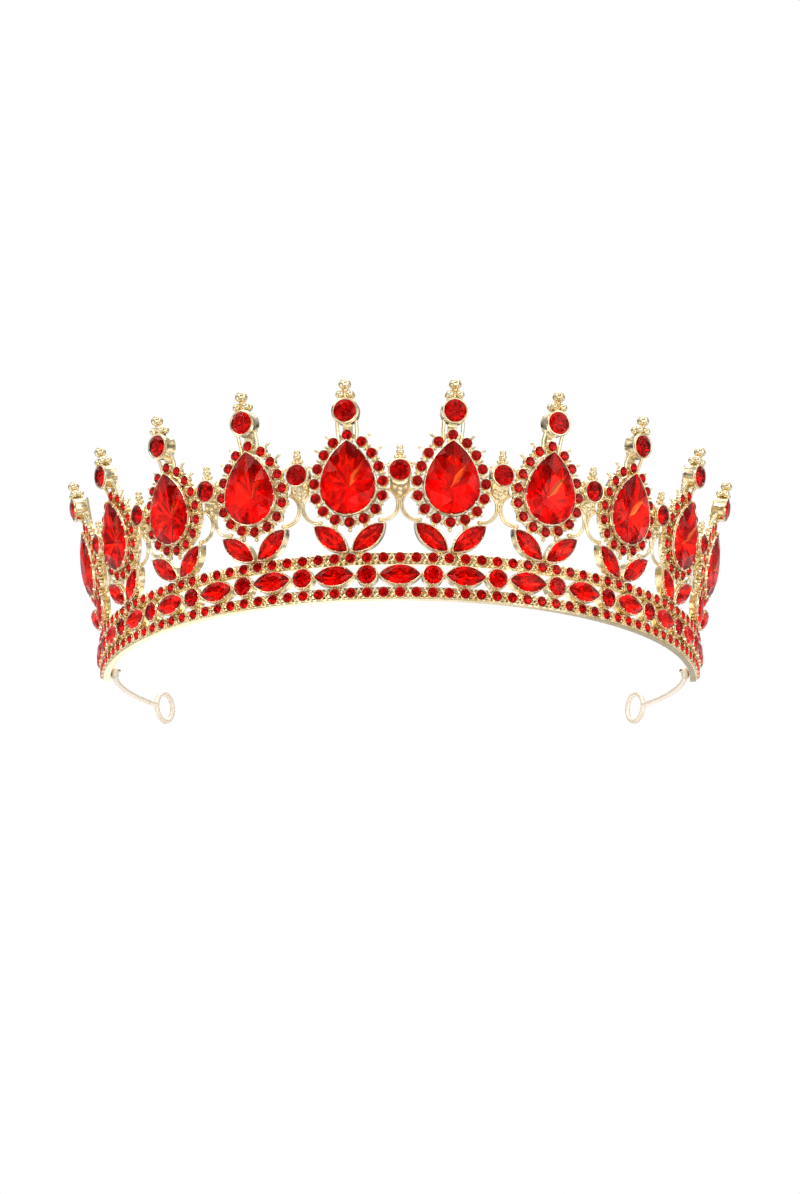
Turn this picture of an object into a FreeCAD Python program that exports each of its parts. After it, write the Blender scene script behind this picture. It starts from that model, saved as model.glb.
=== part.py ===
import FreeCAD, Part
import math
import os
from collections import namedtuple

# An open-backed crown: a jewelled band that covers a little under half a circle, ten peaks with a
# pear stone each, nine links between the peaks, and a wire arm with a ribbon loop at each end.
# Frame: +Z up, origin on the ring's axis in the plane of the band's bottom edge, front toward -Y.
# Lengths are millimetres and angles are degrees. Azimuth runs from the front toward +X.
#
# The settings are built flat, in local axes: u runs along the ring, v runs up the slant of the
# piece from the lower row of stones, and w points straight out of its face.

# ---- driving dimensions ----
RING_RADIUS = 78.0  # from the ring's axis to the face of the lower rail, where v and w are 0
BAND_FLARE = 4.8  # how far the band leans outward
PEAK_FLARE = 12.6  # how far the peaks and links lean outward
PERIOD = 10.94  # angle of one repeat of the band: one marquise and one round stone
REPEATS = 15
STONES_PER_PERIOD = 4  # small stones in each rail
PEAKS = 10
PEAK_SPACING = 1.5  # repeats from one peak to the next

LOWER_ROW = 0.0
MIDDLE_ROW = 4.0
UPPER_ROW = 8.07
RAIL_HALF_HEIGHT = 1.4
RAIL_BACK = -2.2  # w of the inner face of the band
RAIL_FRONT = -1.05  # w of the strip that the cups stand on
RAIL_OVERHANG = 1.3  # angle from the last stone to the end of the strip
LIP = (0.55, 0.45)  # how far the rail's bottom edge reaches outward, and its height
PRONG_ROW = 0.85  # distance of the prongs from the row of stones
PRONG = 0.66

WALL = 0.28  # metal round a stone
SMALL_WALL = 0.15  # and round a small stone
SMALL_STONE = 2.4  # diameters of the round stones
ROUND_STONE = 4.5
LINK_STONE = 5.0
CROWN_STONE = 5.6
MARQUISE_STONE = (9.3, 4.6)  # length and width of the marquises in the band
LEAF_STONE = (9.5, 4.3)

# How deep each stone sits, as w levels: the foot of its cup, the stone's flat back, its girdle
# and its table.
Seat = namedtuple("Seat", "foot back girdle table")
SMALL_SEAT = Seat(-1.35, -0.95, -0.15, 0.3)
BAND_SEAT = Seat(-2.2, -1.7, 0.3, 1.0)
LEAF_SEAT = Seat(-1.8, -1.3, 0.4, 1.2)
PEAR_SEAT = Seat(-2.2, -1.7, 1.0, 2.3)
LINK_SEAT = Seat(-1.8, -1.3, 0.7, 1.4)
CROWN_SEAT = Seat(-1.3, -0.6, 1.9, 2.7)
RIM = 0.12  # how far a cup's rim stands above the girdle

PEAR_CENTRE = 24.3  # v of the centre of the pear's round end
PEAR = (6.4, 10.7)  # its radius, and from that centre to the tip
HALO = (8.0, 12.9)  # the same for the pear-shaped path of the small stones
PEAR_SHOULDER = 8.0  # angle at which the round end turns into the side arc
HALO_LOWER_STEP = 24.5  # angle between the small stones round the round end
HALO_UPPER_STEP = 12.4  # angle between them on the side arc
NECK_STONE = 36.4
SPIKE_LENGTH = 2.35  # from the centre of a halo stone
WEB = (-2.2, -1.2)  # the plate behind the halo, from back to front
WEB_REACH = (0.5, 0.45)  # how far it reaches inside and outside the row of stones
SPINE_HALF_WIDTH = 1.1
LEAF_CENTRE = (4.3, 12.6)
LEAF_TILT = 39.0
CROWN_CENTRE = 41.6
FINIAL_TOP = 47.9
LINK_CENTRE = 27.9
SCROLL_CENTRE = (4.1, 20.4)
SCROLL_RADIUS = 3.7
SCROLL_ARC = (115, 275)
SCROLL_LEVEL = -1.4
WIRE = 0.9  # diameter of the scroll wires

ARM_WIRE = 1.4
ARM_RADIUS = 74.6
ARM_HEIGHT = 2.15  # where the arm is level with the ring's axis
ARM_RISE = 4.2  # how far the arm's plane tilts, so that it climbs toward the back
ARM_ARC = (77.5, 114.1)
ARM_EYE = 1.0  # radius of the flat eye that the rivet goes through
RIVET = 0.9  # diameter of the rivet
RIVET_HEAD = (0.85, 0.45)  # radius and height of each head
LUG_HALF_WIDTH = 1.5
LUG_THICKNESS = 0.75
LOOP_AT = 117.2
LOOP_RADIUS = 3.9
LOOP_HEIGHT = 4.65

Vector = FreeCAD.Vector
ORIGIN = Vector(0, 0, 0)
UP = Vector(0, 0, 1)
OUT = Vector(0, 0, 1)  # the w axis of a flat shape


# ---- placing ----
def slanted_frame(azimuth, flare, radius, height):
    """The placement of local u, v and w at a point of the ring."""
    turn = math.radians(azimuth)
    lean = math.radians(flare)
    outward = Vector(math.sin(turn), -math.cos(turn), 0)
    u = Vector(math.cos(turn), math.sin(turn), 0)
    v = outward * math.sin(lean) + UP * math.cos(lean)
    w = outward * math.cos(lean) - UP * math.sin(lean)
    at = outward * radius + UP * height
    rows = [u.x, v.x, w.x, at.x, u.y, v.y, w.y, at.y, u.z, v.z, w.z, at.z, 0, 0, 0, 1]
    return FreeCAD.Placement(FreeCAD.Matrix(*rows))


def band_point(v, w):
    """A point of the band's section, as a vector in the XZ plane."""
    lean = math.radians(BAND_FLARE)
    row_height = RAIL_HALF_HEIGHT * math.cos(lean)
    radius = RING_RADIUS + v * math.sin(lean) + w * math.cos(lean)
    height = row_height + v * math.cos(lean) - w * math.sin(lean)
    return Vector(radius, 0, height)


def on_band(shape, azimuth):
    """A copy of a flat shape, standing on the band."""
    base = band_point(0, 0)
    placed = shape.copy()
    placed.Placement = slanted_frame(azimuth, BAND_FLARE, base.x, base.z).multiply(shape.Placement)
    return placed


def on_crest(shape, azimuth):
    """A copy of a flat peak or link, leaning out from the upper row of the band."""
    hinge = band_point(UPPER_ROW, 0)
    placed = shape.copy()
    placed.translate(Vector(0, -UPPER_ROW, 0))
    leaning = slanted_frame(azimuth, PEAK_FLARE, hinge.x, hinge.z)
    placed.Placement = leaning.multiply(placed.Placement)
    return placed


def mirrored(shape):
    return shape.mirror(ORIGIN, Vector(1, 0, 0))


def azimuths(count, step):
    """The azimuths of count places, evenly spaced about the front, step repeats apart."""
    return [(i - (count - 1) / 2) * step * PERIOD for i in range(count)]


BAND_EDGE = REPEATS * PERIOD / 2  # azimuth of the last stones
RAIL_STONES = azimuths(REPEATS * STONES_PER_PERIOD + 1, 1 / STONES_PER_PERIOD)
RAIL_PRONGS = azimuths(REPEATS * STONES_PER_PERIOD, 1 / STONES_PER_PERIOD)
MARQUISES = azimuths(REPEATS, 1)
ROUNDS = azimuths(REPEATS + 1, 1)
PEAK_PLACES = azimuths(PEAKS, PEAK_SPACING)
LINK_PLACES = azimuths(PEAKS - 1, PEAK_SPACING)


# ---- outlines, at a given w ----
def arc(start, middle, end, w):
    points = [Vector(u, v, w) for u, v in (start, middle, end)]
    return Part.Arc(*points).toShape()


def side_arc(pear):
    """Distance of the side arcs' centres from the centre of a pear's round end."""
    radius, tip = pear
    shoulder = math.radians(PEAR_SHOULDER)
    return (tip**2 - radius**2) / (2 * (radius - tip * math.sin(shoulder)))


def pear_outline(pear, w, grow=0.0, scale=1.0):
    """A pear, grown outward by a margin and then scaled about the middle of its length."""
    shoulder = math.radians(PEAR_SHOULDER)
    reach = side_arc(pear)
    centre_u = -reach * math.cos(shoulder)
    centre_v = -reach * math.sin(shoulder)
    round_end = pear[0] + grow
    side = round_end + reach
    top = centre_v + math.sqrt(side**2 - centre_u**2)
    halfway = (shoulder + math.atan2(top - centre_v, -centre_u)) / 2
    middle = (top - round_end) / 2

    def local(u, v):
        return (u * scale, PEAR_CENTRE + middle + (v - middle) * scale)

    right = local(round_end * math.cos(shoulder), round_end * math.sin(shoulder))
    flank = local(centre_u + side * math.cos(halfway), centre_v + side * math.sin(halfway))
    point = local(0, top)
    left = (-right[0], right[1])
    edges = [
        arc(left, local(0, -round_end), right, w),
        arc(right, flank, point, w),
        arc(point, (-flank[0], flank[1]), left, w),
    ]
    return Part.Wire(edges)


def marquise_outline(size, w, grow=0.0, scale=1.0):
    """Two arcs that meet in a point at each end."""
    length = (size[0] / 2 + grow) * scale
    width = (size[1] / 2 + grow) * scale
    upper = arc((-length, 0), (0, width), (length, 0), w)
    lower = arc((length, 0), (0, -width), (-length, 0), w)
    return Part.Wire([upper, lower])


# ---- solids ----
def plate(outline, height):
    return Part.Face(outline).extrude(OUT * height)


def polygon_plate(points, back, front):
    corners = [Vector(u, v, back) for u, v in points]
    return plate(Part.makePolygon(corners + corners[:1]), front - back)


def turned(profile, u, v):
    """A profile of (radius, w) points turned about the w axis at u, v."""
    points = [Vector(radius, 0, w) for radius, w in profile]
    face = Part.Face(Part.makePolygon(points + points[:1]))
    solid = face.revolve(ORIGIN, OUT, 360)
    solid.translate(Vector(u, v, 0))
    return solid


def bead(u, v, w, diameter):
    """A ball, turned so that the seam of its surface stays clear of the joints beside it."""
    ball = Part.makeSphere(diameter / 2)
    ball.rotate(ORIGIN, OUT, 45)
    ball.translate(Vector(u, v, w))
    return ball


def rod(start, end, diameter):
    """A round bar between two points, each (u, v, w)."""
    along = Vector(*end) - Vector(*start)
    return Part.makeCylinder(diameter / 2, along.Length, Vector(*start), along)


def joined(pieces):
    return pieces[0].multiFuse(pieces[1:])


# ---- stones, and the hollows that take them ----
def round_stone(diameter, seat, u=0.0, v=0.0):
    r = diameter / 2
    profile = [
        (0, seat.back),
        (r * 0.5, seat.back),
        (r, seat.girdle - 0.1),
        (r, seat.girdle + 0.1),
        (r * 0.6, seat.table),
        (0, seat.table),
    ]
    return turned(profile, u, v)


def round_hollow(diameter, seat, u=0.0, v=0.0):
    r = diameter / 2
    above = seat.table + 1
    profile = [(0, seat.back), (r * 0.5, seat.back), (r, seat.girdle - 0.1), (r, above), (0, above)]
    return turned(profile, u, v)


def round_cup(diameter, seat, u=0.0, v=0.0, wall=WALL):
    """The metal of a round cup, still without its hollow."""
    height = seat.girdle + RIM - seat.foot
    return Part.makeCylinder(diameter / 2 + wall, height, Vector(u, v, seat.foot))


def fancy_stone(outline, size, seat):
    levels = [
        (seat.back, 0.5),
        (seat.girdle - 0.15, 1.0),
        (seat.girdle + 0.1, 1.0),
        (seat.table, 0.62),
    ]
    return Part.makeLoft([outline(size, w, scale=s) for w, s in levels], True, True)


def fancy_hollow(outline, size, seat):
    levels = [(seat.back, 0.5), (seat.girdle - 0.15, 1.0), (seat.table + 1, 1.0)]
    return Part.makeLoft([outline(size, w, scale=s) for w, s in levels], True, True)


def fancy_cup(outline, size, seat):
    return plate(outline(size, seat.foot, grow=WALL), seat.girdle + RIM - seat.foot)


def at_leaf(shape, side):
    """A marquise moved to the left or right leaf of a peak."""
    placed = shape.copy()
    placed.rotate(ORIGIN, OUT, side * LEAF_TILT)
    placed.translate(Vector(side * LEAF_CENTRE[0], LEAF_CENTRE[1], 0))
    return placed


def at_middle_row(shape):
    placed = shape.copy()
    placed.translate(Vector(0, MIDDLE_ROW, 0))
    return placed


# ---- the band ----
def swept(section):
    """A section in the XZ plane, turned about the ring's axis from one end of the band to the other."""
    end = BAND_EDGE + RAIL_OVERHANG
    face = Part.Face(Part.makePolygon(section + section[:1]))
    face.rotate(ORIGIN, UP, -90 - end)
    return face.revolve(ORIGIN, UP, 2 * end)


def rail(row, section):
    """A strip with a row of small cups, and a pair of prongs between each two."""
    cup = round_cup(SMALL_STONE, SMALL_SEAT, 0, row, SMALL_WALL)
    hollow = round_hollow(SMALL_STONE, SMALL_SEAT, 0, row)
    cup = cup.cut(hollow)
    pieces = [swept(section)]
    pieces += [on_band(cup, azimuth) for azimuth in RAIL_STONES]
    for side in (-1, 1):
        v = row + side * PRONG_ROW
        prong = rod((0, v, SMALL_SEAT.foot), (0, v, SMALL_SEAT.girdle), PRONG)
        prong = prong.fuse(bead(0, v, SMALL_SEAT.girdle, PRONG * 1.1))
        pieces += [on_band(prong, azimuth) for azimuth in RAIL_PRONGS]
    return joined(pieces)


def lower_rail():
    """The rail that rests on the head: its bottom is flat, with a lip in front and a lug at each end."""
    inner = band_point(LOWER_ROW - RAIL_HALF_HEIGHT, RAIL_BACK)
    outer = band_point(LOWER_ROW - RAIL_HALF_HEIGHT, RAIL_FRONT)
    section = [
        Vector(inner.x, 0, 0),
        Vector(outer.x + LIP[0], 0, 0),
        Vector(outer.x + LIP[0], 0, LIP[1]),
        Vector(outer.x, 0, LIP[1] + LIP[0] / 2),
        band_point(LOWER_ROW + RAIL_HALF_HEIGHT, RAIL_FRONT),
        band_point(LOWER_ROW + RAIL_HALF_HEIGHT, RAIL_BACK),
    ]
    return joined([rail(LOWER_ROW, section), end_lug(), mirrored(end_lug())])


def upper_rail():
    section = [
        band_point(UPPER_ROW - RAIL_HALF_HEIGHT, RAIL_BACK),
        band_point(UPPER_ROW - RAIL_HALF_HEIGHT, RAIL_FRONT),
        band_point(UPPER_ROW + RAIL_HALF_HEIGHT, RAIL_FRONT),
        band_point(UPPER_ROW + RAIL_HALF_HEIGHT, RAIL_BACK),
    ]
    return rail(UPPER_ROW, section)


def centre_settings():
    """The cups between the rails, with posts that reach both rails."""
    marquise = fancy_cup(marquise_outline, MARQUISE_STONE, BAND_SEAT)
    marquise = marquise.cut(fancy_hollow(marquise_outline, MARQUISE_STONE, BAND_SEAT))
    disc = round_cup(ROUND_STONE, BAND_SEAT).cut(round_hollow(ROUND_STONE, BAND_SEAT))
    level = BAND_SEAT.foot + 0.6
    lower_gap = (LOWER_ROW + RAIL_HALF_HEIGHT, MIDDLE_ROW - ROUND_STONE / 2)
    upper_gap = (MIDDLE_ROW + ROUND_STONE / 2, UPPER_ROW - RAIL_HALF_HEIGHT)
    posts = [rod((0, low, level), (0, high, level), 0.8) for low, high in (lower_gap, upper_gap)]
    pieces = [on_band(at_middle_row(marquise), azimuth) for azimuth in MARQUISES]
    pieces += [on_band(at_middle_row(disc), azimuth) for azimuth in ROUNDS]
    pieces += [on_band(post, azimuth) for post in posts for azimuth in MARQUISES + ROUNDS]
    return joined(pieces)


def risen(shape):
    """A shape tilted with the plane of the arms."""
    placed = shape.copy()
    placed.rotate(ORIGIN, Vector(1, 0, 0), ARM_RISE)
    return placed


def at_rivet(shape):
    """A shape about the Z axis, moved to where the arm meets its lug."""
    placed = shape.copy()
    placed.translate(Vector(0, -ARM_RADIUS, 0))
    placed.rotate(ORIGIN, UP, BAND_EDGE)
    return risen(placed)


def end_lug():
    """The tab behind the end of the lower rail, with the rivet's hole in it."""
    bottom = ARM_HEIGHT + ARM_WIRE / 2
    reach = band_point(LOWER_ROW, RAIL_BACK + 0.4).x - ARM_RADIUS
    eye = Part.makeCylinder(LUG_HALF_WIDTH, LUG_THICKNESS, Vector(0, 0, bottom))
    corner = Vector(-LUG_HALF_WIDTH, -reach, bottom)
    tab = Part.makeBox(2 * LUG_HALF_WIDTH, reach, LUG_THICKNESS, corner)
    hole = Part.makeCylinder(RIVET / 2, LUG_THICKNESS, Vector(0, 0, bottom))
    return at_rivet(eye.fuse(tab).cut(hole))


# ---- peaks ----
def halo_places():
    """The sixteen small stones round a pear: the neck, the bottom, and seven up each side."""
    shoulder = math.radians(PEAR_SHOULDER)
    radius = HALO[0]
    reach = side_arc(HALO)
    half = [(0, -radius)]
    for step in range(1, 5):
        turn = math.radians(step * HALO_LOWER_STEP - 90)
        half.append((radius * math.cos(turn), radius * math.sin(turn)))
    for step in range(1, 4):
        turn = shoulder + math.radians(step * HALO_UPPER_STEP)
        u = (radius + reach) * math.cos(turn) - reach * math.cos(shoulder)
        v = (radius + reach) * math.sin(turn) - reach * math.sin(shoulder)
        half.append((u, v))
    places = [(u, PEAR_CENTRE + v) for u, v in half]
    places += [(-u, v) for u, v in places[1:]]
    return places + [(0, NECK_STONE)]


def halo_spikes():
    """Ball-ended spikes that point outward from the three upper stones on each side."""
    pieces = []
    reach = side_arc(HALO)
    for side in (-1, 1):
        for step in range(1, 4):
            turn = math.radians(PEAR_SHOULDER + step * HALO_UPPER_STEP)
            shoulder = math.radians(PEAR_SHOULDER)
            near = HALO[0] + reach + 1.2
            far = HALO[0] + reach + SPIKE_LENGTH

            def place(distance):
                u = distance * math.cos(turn) - reach * math.cos(shoulder)
                v = distance * math.sin(turn) - reach * math.sin(shoulder)
                return (side * u, PEAR_CENTRE + v, SMALL_SEAT.back)

            pieces.append(rod(place(near), place(far), 0.5))
            pieces.append(bead(*place(far), 0.75))
    return pieces


def finial():
    """Four beads on top of the crown cup, a small one above them, and a larger one to end it."""
    stem_foot = CROWN_CENTRE + CROWN_STONE / 2
    level = 0.5
    pieces = [rod((0, stem_foot, level), (0, FINIAL_TOP, level + 0.4), 1.1)]
    for side in (-1, 1):
        for depth in (-0.75, 0.75):
            pieces.append(bead(side * 1.15, FINIAL_TOP - 2.4, level + depth, 2.0))
    pieces.append(bead(0, FINIAL_TOP - 1.3, level + 0.3, 1.4))
    pieces.append(bead(0, FINIAL_TOP, level + 0.4, 2.9))
    return pieces


def neck():
    """The spine behind the crown cup, and the two side posts in front of it."""
    foot = PEAR_CENTRE + PEAR[1] - 1
    top = CROWN_CENTRE + CROWN_STONE / 2 - 0.2
    half = SPINE_HALF_WIDTH
    outline = [(-half, foot), (half, foot), (half, top), (-half, top)]
    pieces = [polygon_plate(outline, WEB[0], CROWN_SEAT.foot + 0.3)]
    for side in (-1, 1):
        start = (side * 2.0, NECK_STONE - 1.4, -0.9)
        end = (side * 2.2, CROWN_CENTRE - 2.2, 0.0)
        pieces += [rod(start, end, 0.8), bead(*start, 0.8)]
    return pieces


def leaf_pieces():
    """The two leaf cups, the bars up to the halo, and the foot that stands on the upper rail."""
    cup = fancy_cup(marquise_outline, LEAF_STONE, LEAF_SEAT)
    level = LEAF_SEAT.foot + 0.5
    halo_foot = halo_places()[1]
    pieces = []
    for side in (-1, 1):
        pieces.append(at_leaf(cup, side))
        start = (side * halo_foot[0], halo_foot[1] - 0.3, level)
        end = (side * (LEAF_CENTRE[0] - 0.7), LEAF_CENTRE[1] + 1.2, level)
        pieces.append(rod(start, end, 0.9))
    rail_top = UPPER_ROW + RAIL_HALF_HEIGHT
    outline = [(-2.4, rail_top), (2.4, rail_top), (1.9, rail_top + 1.1), (-1.9, rail_top + 1.1)]
    pieces.append(polygon_plate(outline, LEAF_SEAT.foot, LEAF_SEAT.foot + 0.9))
    return pieces


def peak_casting():
    """One peak, flat: everything of metal, with the hollows for its stones."""
    inward, outward = WEB_REACH
    outer = plate(pear_outline(HALO, WEB[0], grow=outward), WEB[1] - WEB[0])
    inner = plate(pear_outline(HALO, WEB[0], grow=-inward), WEB[1] - WEB[0])
    pieces = [outer.cut(inner), fancy_cup(pear_outline, PEAR, PEAR_SEAT)]
    pieces += [round_cup(SMALL_STONE, SMALL_SEAT, u, v, SMALL_WALL) for u, v in halo_places()]
    pieces += [round_cup(CROWN_STONE, CROWN_SEAT, 0, CROWN_CENTRE)]
    pieces += neck() + leaf_pieces() + halo_spikes() + finial()
    pieces.append(bead(0, PEAR_CENTRE - HALO[0] - 1.75, SMALL_SEAT.back, 1.0))
    hollows = [round_hollow(SMALL_STONE, SMALL_SEAT, u, v) for u, v in halo_places()]
    hollows.append(round_hollow(CROWN_STONE, CROWN_SEAT, 0, CROWN_CENTRE))
    hollows.append(fancy_hollow(pear_outline, PEAR, PEAR_SEAT))
    leaf = fancy_hollow(marquise_outline, LEAF_STONE, LEAF_SEAT)
    hollows += [at_leaf(leaf, side) for side in (-1, 1)]
    return joined(pieces).cut(hollows)


def halo_stones():
    stones = [round_stone(SMALL_STONE, SMALL_SEAT, u, v) for u, v in halo_places()]
    return Part.makeCompound(stones)


# ---- links ----
def scroll(side):
    """A wire scroll: most of a half turn about its centre, with a bead at its lower end."""
    first, last = SCROLL_ARC
    radius = SCROLL_RADIUS
    wire = Part.makeTorus(radius, WIRE / 2, ORIGIN, OUT, -180, 180, last - first)
    wire.rotate(ORIGIN, OUT, first)
    turn = math.radians(last)
    end = bead(radius * math.cos(turn), radius * math.sin(turn), 0, WIRE * 1.3)
    shape = wire.fuse(end)
    shape.translate(Vector(SCROLL_CENTRE[0], SCROLL_CENTRE[1], SCROLL_LEVEL))
    return shape if side > 0 else mirrored(shape)


def link_casting():
    """One link, flat: its cup, bead finial, plate and two scrolls."""
    half = LINK_STONE / 2
    top = LINK_CENTRE + half
    level = -0.6
    pieces = [round_cup(LINK_STONE, LINK_SEAT, 0, LINK_CENTRE)]
    pieces += [bead(u, top + 0.75, level, 1.1) for u in (-0.85, 0, 0.85)]
    pieces += [bead(0, top + 1.9, level, 1.8), bead(0, top + 2.9, level, 1.5)]
    plate_top = LINK_CENTRE - half + 0.6
    scroll_top = SCROLL_CENTRE[1] + SCROLL_RADIUS
    outline = [
        (-2.2, plate_top),
        (-2.3, scroll_top - 0.2),
        (-1.9, scroll_top - 1.0),
        (0, SCROLL_CENTRE[1] + 1.2),
        (1.9, scroll_top - 1.0),
        (2.3, scroll_top - 0.2),
        (2.2, plate_top),
    ]
    pieces.append(polygon_plate(outline, LINK_SEAT.foot, LINK_SEAT.foot + 0.9))
    for side in (-1, 1):
        pieces.append(scroll(side))
        for turn in (math.radians(20), math.radians(-28)):
            u = side * (half + 0.35) * math.cos(turn)
            pieces.append(bead(u, LINK_CENTRE + (half + 0.35) * math.sin(turn), level, 0.7))
    hollow = round_hollow(LINK_STONE, LINK_SEAT, 0, LINK_CENTRE)
    return joined(pieces).cut(hollow)


# ---- ends, built on the +X side ----
def ribbon_loop():
    """A wire ring that stands upright along the crown's tangent."""
    loop = Part.makeTorus(LOOP_RADIUS, ARM_WIRE / 2)
    loop.Placement = slanted_frame(LOOP_AT, 0, ARM_RADIUS, LOOP_HEIGHT)
    return loop


def end_arm(loop):
    """A round wire that climbs along the ring, with an eye under the lug and a saddle on its loop."""
    first, last = ARM_ARC
    centre = Vector(0, 0, ARM_HEIGHT)
    wire = Part.makeTorus(ARM_RADIUS, ARM_WIRE / 2, centre, UP, -180, 180, last - first)
    wire.rotate(ORIGIN, UP, first - 90)
    start = bead(0, -ARM_RADIUS, ARM_HEIGHT, ARM_WIRE)
    start.rotate(ORIGIN, UP, first)
    bottom = Vector(0, 0, ARM_HEIGHT - ARM_WIRE / 2)
    eye = at_rivet(Part.makeCylinder(ARM_EYE, ARM_WIRE, bottom))
    hole = at_rivet(Part.makeCylinder(RIVET / 2, ARM_WIRE, bottom))
    return joined([risen(wire), risen(start), eye]).cut(hole).cut(loop)


def arm_rivet():
    """A pin through the arm's eye and the lug, with a domed head at each end."""
    bottom = ARM_HEIGHT - ARM_WIRE / 2
    top = bottom + ARM_WIRE + LUG_THICKNESS
    radius, height = RIVET_HEAD
    shank = Part.makeCylinder(RIVET / 2, top - bottom, Vector(0, 0, bottom))
    ball_radius = (radius**2 + height**2) / (2 * height)
    pieces = [shank]
    for face, side in ((bottom, -1), (top, 1)):
        ball = Part.makeSphere(ball_radius, Vector(0, 0, face + side * (height - ball_radius)))
        slab = Part.makeCylinder(radius * 2, height, Vector(0, 0, min(face, face + side * height)))
        pieces.append(ball.common(slab))
    return at_rivet(joined(pieces))


# ---- the crown ----
def band_stones():
    """Nodes of the stones in the band, by name."""
    marquise = at_middle_row(fancy_stone(marquise_outline, MARQUISE_STONE, BAND_SEAT))
    disc = at_middle_row(round_stone(ROUND_STONE, BAND_SEAT))
    groups = {
        "band_marquise_stones": (marquise, MARQUISES),
        "band_round_stones": (disc, ROUNDS),
        "lower_rail_stones": (round_stone(SMALL_STONE, SMALL_SEAT, 0, LOWER_ROW), RAIL_STONES),
        "upper_rail_stones": (round_stone(SMALL_STONE, SMALL_SEAT, 0, UPPER_ROW), RAIL_STONES),
    }
    return {
        name: Part.makeCompound([on_band(stone, azimuth) for azimuth in places])
        for name, (stone, places) in groups.items()
    }


def crest_stones():
    """Nodes of the stones in the peaks and links that share one node for each kind."""
    crown = round_stone(CROWN_STONE, CROWN_SEAT, 0, CROWN_CENTRE)
    link = round_stone(LINK_STONE, LINK_SEAT, 0, LINK_CENTRE)
    leaf = fancy_stone(marquise_outline, LEAF_STONE, LEAF_SEAT)
    leaves = Part.makeCompound([at_leaf(leaf, side) for side in (-1, 1)])
    groups = {
        "crown_stones": (crown, PEAK_PLACES),
        "link_stones": (link, LINK_PLACES),
        "leaf_stones": (leaves, PEAK_PLACES),
    }
    return {
        name: Part.makeCompound([on_crest(stone, azimuth) for azimuth in places])
        for name, (stone, places) in groups.items()
    }


def crown():
    """Every node of the crown, by name."""
    nodes = {
        "band_lower_rail": lower_rail(),
        "band_upper_rail": upper_rail(),
        "band_centre_settings": centre_settings(),
    }
    nodes.update(band_stones())
    nodes.update(crest_stones())
    peak = peak_casting()
    halo = halo_stones()
    pear = fancy_stone(pear_outline, PEAR, PEAR_SEAT)
    for number, azimuth in enumerate(PEAK_PLACES, 1):
        nodes[f"peak_casting_{number:02d}"] = on_crest(peak, azimuth)
        nodes[f"halo_stones_{number:02d}"] = on_crest(halo, azimuth)
        nodes[f"pear_stone_{number:02d}"] = on_crest(pear, azimuth)
    link = link_casting()
    for number, azimuth in enumerate(LINK_PLACES, 1):
        nodes[f"link_casting_{number:02d}"] = on_crest(link, azimuth)
    loop = ribbon_loop()
    ends = {"ribbon_loop": loop, "end_arm": end_arm(loop), "arm_rivet": arm_rivet()}
    for name, shape in ends.items():
        nodes[name + "_right"] = shape
        nodes[name + "_left"] = mirrored(shape)
    return nodes


os.makedirs("parts", exist_ok=True)
for name, shape in crown().items():
    shape.exportStep("parts/" + name + ".step")
    print(name, "solids", len(shape.Solids), "valid", shape.isValid(), "mm3", round(shape.Volume, 2))
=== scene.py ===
import math

import bpy
from mathutils import Matrix, Vector


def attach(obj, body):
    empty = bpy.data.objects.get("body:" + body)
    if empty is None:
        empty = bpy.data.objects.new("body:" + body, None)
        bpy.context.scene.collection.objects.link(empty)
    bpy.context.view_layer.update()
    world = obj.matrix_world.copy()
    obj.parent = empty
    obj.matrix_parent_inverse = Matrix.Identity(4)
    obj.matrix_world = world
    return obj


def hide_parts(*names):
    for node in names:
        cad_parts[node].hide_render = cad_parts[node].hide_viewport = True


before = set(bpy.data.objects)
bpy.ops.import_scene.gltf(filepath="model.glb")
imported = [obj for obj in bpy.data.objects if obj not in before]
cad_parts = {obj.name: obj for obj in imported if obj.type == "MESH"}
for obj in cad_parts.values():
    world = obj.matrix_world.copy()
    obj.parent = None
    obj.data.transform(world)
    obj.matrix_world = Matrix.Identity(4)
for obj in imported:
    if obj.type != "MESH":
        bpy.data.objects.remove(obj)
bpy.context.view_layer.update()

# A gilt tiara with red glass stones. The CAD model gives every piece its place and size. Here each
# casting, wire and stone is made again as a finer piece in the same place. Motifs are built flat in
# millimetres, in local axes: u runs along the ring, v runs up the slant of the piece from the lower
# row of stones, and w points straight out of its face. They are then set round the ring.

MM = 0.001

# ---- the ring, as the CAD model has it ----
RING_RADIUS = 78.0
BAND_FLARE = math.radians(4.8)
PEAK_FLARE = math.radians(12.6)
PERIOD = math.radians(10.94)
REPEATS = 15
STONES_PER_PERIOD = 4
PEAKS = 10
PEAK_SPACING = 1.5
LOWER_ROW = 0.0
MIDDLE_ROW = 4.0
UPPER_ROW = 8.07
RAIL_HALF = 1.4
RAIL_BACK = -2.2
RAIL_FRONT = -1.05
BAND_EDGE = REPEATS * PERIOD / 2
RAIL_END = BAND_EDGE + math.radians(1.3)
LIP = (0.55, 0.45)
PRONG_ROW = 0.85
PRONG_RADIUS = 0.3
PRONG_BEAD = 0.36
PRONG_ARM = 0.2
PRONG_ARM_REACH = 0.62
POST_RADIUS = 0.4
POST_SIDE_BEAD = 0.33
POST_BEAD = 0.36

# ---- stones: diameter or outline, then the w of cup foot, back, girdle and table ----
WALL = 0.28
SMALL_WALL = 0.15
RIM = 0.12
SMALL = (2.4, (-1.35, -0.95, -0.15, 0.3))
ROUND = (4.5, (-2.2, -1.7, 0.3, 1.0))
LINK = (5.0, (-1.8, -1.3, 0.7, 1.4))
CROWN = (5.6, (-1.3, -0.6, 1.9, 2.7))
BAND_MARQUISE = ((9.3, 4.6), (-2.2, -1.7, 0.3, 1.0))
LEAF = ((9.5, 4.3), (-1.8, -1.3, 0.4, 1.2))
PEAR = ((6.4, 10.7), (-2.2, -1.7, 1.0, 2.3))

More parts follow.
